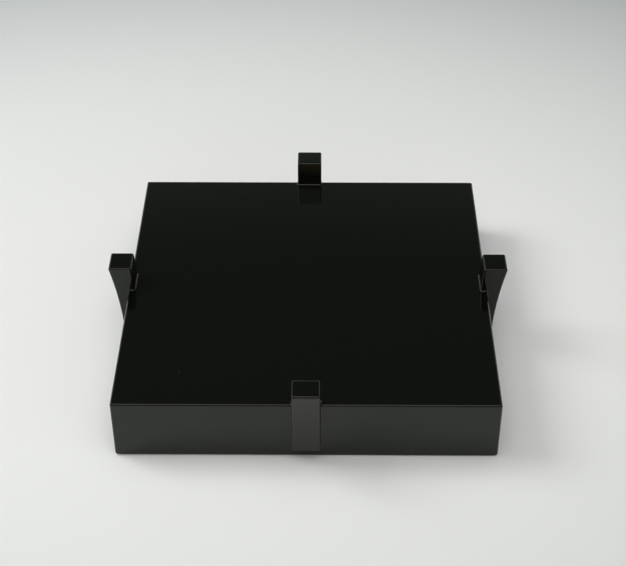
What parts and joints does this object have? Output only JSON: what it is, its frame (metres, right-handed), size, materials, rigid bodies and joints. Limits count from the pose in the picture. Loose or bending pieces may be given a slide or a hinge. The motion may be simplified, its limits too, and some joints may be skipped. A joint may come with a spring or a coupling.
{
  "type": "lacquer confectionery dish",
  "caption": "Shallow square dish of black lacquered wood on curved bracket feet at the middle of its sides, turned over so that it lies on its rim with the underside up.",
  "frame": {"origin": "centre of the dish in the plane of its rim, which is what it lies on in the picture", "axes": "+Z from the rim to the underside and on to the ends of the feet; X and Y square to the walls, with -Y the side nearest the picture's camera. For use the dish is turned over, by half a turn about X, so that it stands on its feet with the rim up."},
  "size_m": [0.2646, 0.2646, 0.0618],
  "materials": {
    "black_lacquer": "black urushi lacquer over wood, polished to a soft gloss",
    "pale_wood": "planed softwood, bare inside the joints",
    "bamboo": "split and shaved bamboo"
  },
  "bodies": {
    "root": {"base_board": "black_lacquer", "wall_front": "black_lacquer", "wall_right": "black_lacquer", "wall_back": "black_lacquer", "wall_left": "black_lacquer", "foot_front": "black_lacquer", "foot_right": "black_lacquer", "foot_back": "black_lacquer", "foot_left": "black_lacquer", "corner_key_front_left_lower": "pale_wood", "corner_key_front_left_upper": "pale_wood", "corner_key_front_right_lower": "pale_wood", "corner_key_front_right_upper": "pale_wood", "corner_key_back_right_lower": "pale_wood", "corner_key_back_right_upper": "pale_wood", "corner_key_back_left_lower": "pale_wood", "corner_key_back_left_upper": "pale_wood", "foot_peg_front_lower": "pale_wood", "foot_peg_front_upper": "pale_wood", "foot_peg_right_lower": "pale_wood", "foot_peg_right_upper": "pale_wood", "foot_peg_back_lower": "pale_wood", "foot_peg_back_upper": "pale_wood", "foot_peg_left_lower": "pale_wood", "foot_peg_left_upper": "pale_wood", "base_nail_front_1": "bamboo", "base_nail_front_2": "bamboo", "base_nail_front_3": "bamboo", "base_nail_front_4": "bamboo", "base_nail_right_1": "bamboo", "base_nail_right_2": "bamboo", "base_nail_right_3": "bamboo", "base_nail_right_4": "bamboo", "base_nail_back_1": "bamboo", "base_nail_back_2": "bamboo", "base_nail_back_3": "bamboo", "base_nail_back_4": "bamboo", "base_nail_left_1": "bamboo", "base_nail_left_2": "bamboo", "base_nail_left_3": "bamboo", "base_nail_left_4": "bamboo"}
  },
  "joints": []
}
